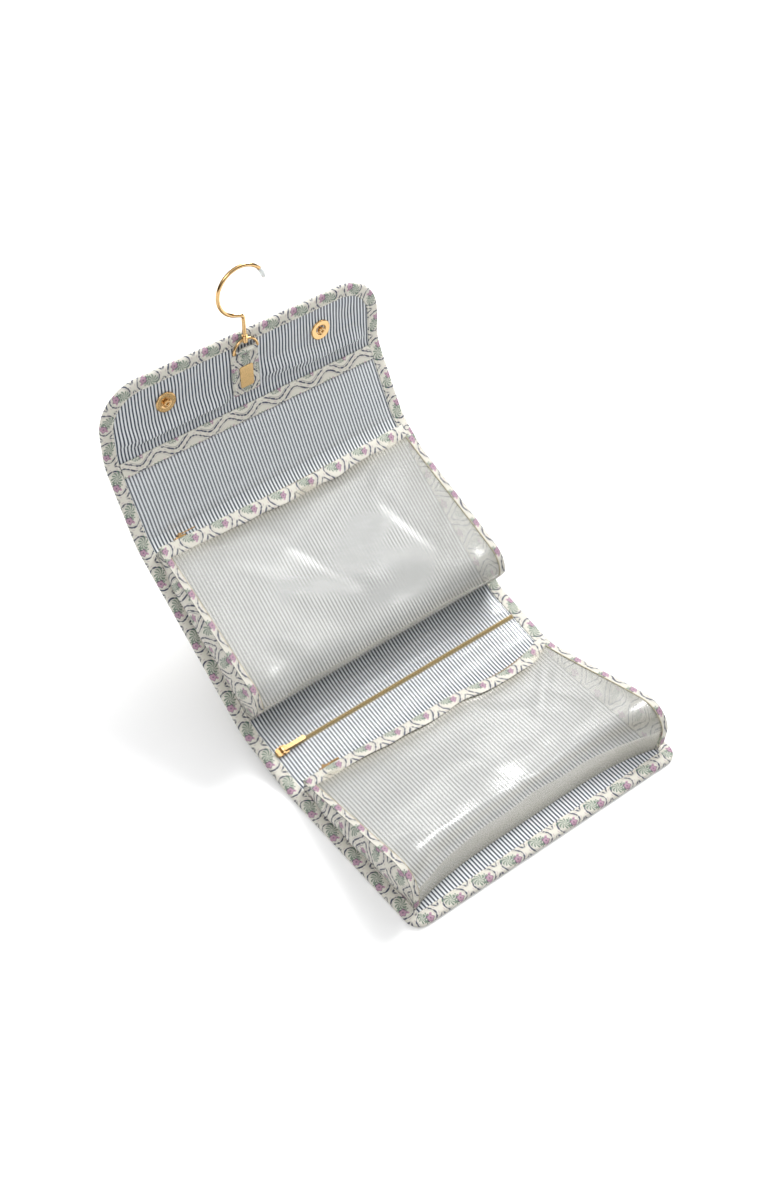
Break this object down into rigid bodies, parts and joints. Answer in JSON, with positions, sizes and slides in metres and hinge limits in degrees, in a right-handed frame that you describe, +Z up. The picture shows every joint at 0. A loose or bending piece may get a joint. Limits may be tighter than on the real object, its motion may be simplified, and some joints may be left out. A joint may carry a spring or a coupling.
{
  "type": "hanging toiletry bag",
  "caption": "Fold-out padded toiletry bag with clear box pockets, zips, a snap flap and a swivel hook, laid open with its upper end raised.",
  "frame": {"origin": "centre of the lower panel's underside, where the bag rests on a table", "axes": "+X to the right across the bag, +Y up the unfolded bag from the lower panel to the flap, +Z up out of the lower panel's lining"},
  "size_m": [0.266, 0.3924, 0.3072],
  "materials": {
    "print": "printed cotton, fine matt weave",
    "lining": "striped ticking, fine matt weave",
    "foam": "soft sheet foam",
    "clear": "clear vinyl, glossy",
    "coil": "tan nylon coil",
    "tape": "woven zip tape",
    "gold": "polished gold plate",
    "tip": "milky soft plastic"
  },
  "bodies": {
    "lower_panel": {"lower_shell": "print", "lower_foam": "foam", "lower_lining": "lining", "lower_binding": "print", "lower_gusset_left": "print", "lower_gusset_right": "print", "lower_front": "clear", "lower_base_band": "clear", "lower_zip_tape": "tape", "lower_zip_teeth": "coil", "lower_zip_edge": "print", "lower_piping": "print", "lower_snap_sockets": "gold"},
    "middle_panel": {"middle_shell": "print", "middle_foam": "foam", "middle_lining": "lining", "middle_binding": "print", "middle_film": "clear", "middle_zip_teeth": "coil"},
    "upper_panel": {"upper_shell": "print", "upper_foam": "foam", "upper_lining": "lining", "upper_binding": "print", "upper_gusset_left": "print", "upper_gusset_right": "print", "upper_front": "clear", "upper_base_band": "clear", "upper_zip_tape": "tape", "upper_zip_teeth": "coil", "upper_zip_edge": "print", "upper_piping": "print"},
    "slip_panel": {"slip_shell": "print", "slip_foam": "foam", "slip_lining": "lining", "slip_binding": "print", "slip_film": "clear", "slip_trim": "print"},
    "flap_panel": {"flap_shell": "print", "flap_foam": "foam", "flap_lining": "lining", "flap_binding": "print", "flap_tab": "print", "flap_plaque": "gold", "flap_ring_loop": "print", "flap_snap_studs": "gold"},
    "ring": {"ring": "gold"},
    "hook": {"hook": "gold", "hook_collar": "gold", "hook_tip": "tip"},
    "lower_slider": {"lower_slider": "gold"},
    "lower_puller": {"lower_puller": "gold"},
    "middle_slider": {"middle_slider": "gold"},
    "middle_puller": {"middle_puller": "gold"},
    "upper_slider": {"upper_slider": "gold"},
    "upper_puller": {"upper_puller": "gold"}
  },
  "joints": [
    {"name": "lower_fold", "type": "hinge", "parent": "lower_panel", "child": "middle_panel", "pos_m": [0, 0.08, 0.0034], "axis": [1, 0, 0], "range_deg": [-12, 78]},
    {"name": "upper_fold", "type": "hinge", "parent": "middle_panel", "child": "upper_panel", "pos_m": [0, 0.13771, 0.01567], "axis": [1, 0, 0], "range_deg": [-24.5, 65.5]},
    {"name": "slip_fold", "type": "hinge", "parent": "upper_panel", "child": "slip_panel", "pos_m": [0, 0.27276, 0.1156], "axis": [1, 0, 0], "range_deg": [-23, 67]},
    {"name": "flap_fold", "type": "hinge", "parent": "slip_panel", "child": "flap_panel", "pos_m": [0, 0.30778, 0.17505], "axis": [1, 0, 0], "range_deg": [-29.5, 60.5]},
    {"name": "ring_tilt", "type": "hinge", "parent": "flap_panel", "child": "ring", "pos_m": [0, 0.3052, 0.2281], "axis": [-1, 0, 0], "range_deg": [-135, 0]},
    {"name": "hook_swivel", "type": "hinge", "parent": "ring", "child": "hook", "pos_m": [0, 0.30539, 0.2386], "axis": [0, 0.0175, 0.9998], "continuous": true},
    {"name": "lower_zip", "type": "slide", "parent": "lower_panel", "child": "lower_slider", "axis": [1, 0, 0], "range_m": [-0.008, 0.195]},
    {"name": "lower_puller_lift", "type": "hinge", "parent": "lower_slider", "child": "lower_puller", "pos_m": [-0.1, 0.0765, 0.0104], "axis": [0, 0, 1], "range_deg": [0, 180]},
    {"name": "upper_zip", "type": "slide", "parent": "upper_panel", "child": "upper_slider", "axis": [1, 0, 0], "range_m": [-0.008, 0.195]},
    {"name": "upper_puller_lift", "type": "hinge", "parent": "upper_slider", "child": "upper_puller", "pos_m": [-0.1, 0.26377, 0.11765], "axis": [0, -0.5948, 0.8039], "range_deg": [0, 180]},
    {"name": "middle_zip", "type": "slide", "parent": "middle_panel", "child": "middle_slider", "axis": [1, 0, 0], "range_m": [0, 0.208]},
    {"name": "middle_puller_lift", "type": "hinge", "parent": "middle_slider", "child": "middle_puller", "pos_m": [-0.116, 0.10792, 0.01393], "axis": [0, -0.9781, -0.2079], "range_deg": [0, 180]}
  ]
}
